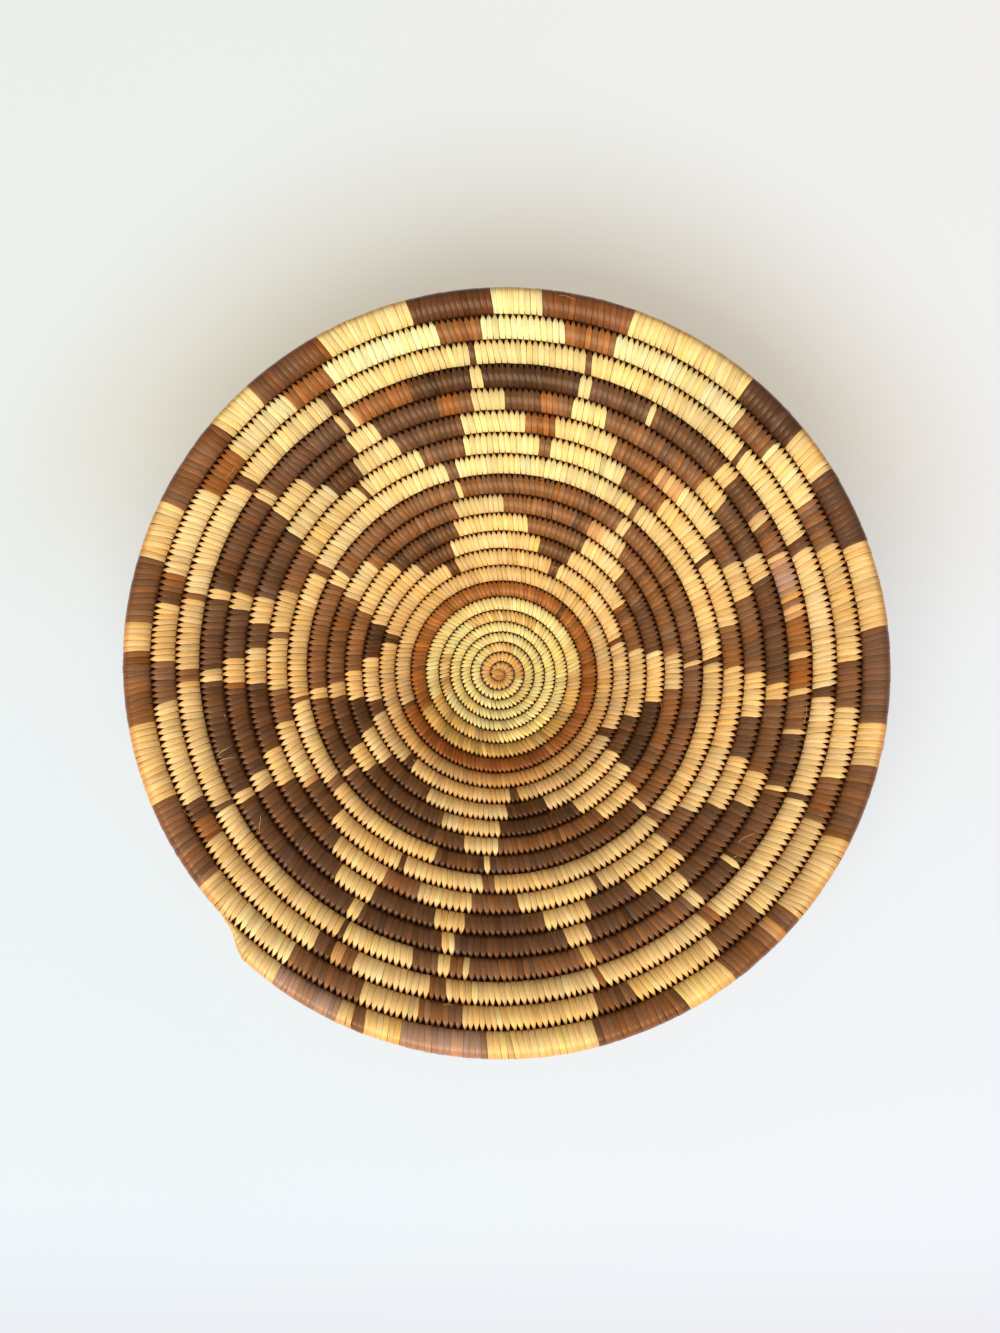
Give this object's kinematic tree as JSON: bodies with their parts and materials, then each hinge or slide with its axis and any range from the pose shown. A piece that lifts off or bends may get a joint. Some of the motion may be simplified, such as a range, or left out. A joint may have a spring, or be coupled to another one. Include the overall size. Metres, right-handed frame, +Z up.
{
  "type": "coiled basket",
  "caption": "Shallow round coiled basket: one grass bundle wound as a spiral, bound round by round with undyed and dyed leaf stitches.",
  "frame": {"origin": "on the coil's axis, in the plane that the flat base rests on", "axes": "+Z up, out of the bowl's mouth; +Y is the side that is at the top of the picture; the tail's tip lies 228.5 degrees clockwise from +Y, seen from above"},
  "size_m": [0.341, 0.3465, 0.0621],
  "materials": {
    "undyed_leaf": "split leaf, dry, satin, tan",
    "brown_leaf": "dyed leaf, satin, walnut brown",
    "dark_leaf": "dyed leaf, satin, dark brown",
    "red_leaf": "dyed leaf, satin, reddish brown",
    "grass_stems": "dry grass stems, matt"
  },
  "bodies": {
    "root": {"start_knot": "undyed_leaf", "foundation_coil": "grass_stems", "stitching_round_01": "undyed_leaf", "stitching_round_02": "undyed_leaf", "stitching_round_03": "undyed_leaf", "stitching_round_04": "undyed_leaf", "stitching_round_05": "undyed_leaf", "stitching_round_06": "undyed_leaf", "stitching_round_07": "undyed_leaf", "stitching_round_08": "red_leaf", "stitching_round_09": "undyed_leaf", "stitching_round_10": "undyed_leaf", "stitching_round_11": "undyed_leaf", "stitching_round_12": "dark_leaf", "stitching_round_13": "dark_leaf", "stitching_round_14": "brown_leaf", "stitching_round_15": "undyed_leaf", "stitching_round_16": "undyed_leaf", "stitching_round_17": "dark_leaf", "stitching_round_18": "dark_leaf", "stitching_round_19": "dark_leaf", "stitching_round_20": "undyed_leaf", "stitching_round_21": "undyed_leaf", "stitching_round_22": "brown_leaf", "tail_wrap": "undyed_leaf"}
  },
  "joints": []
}
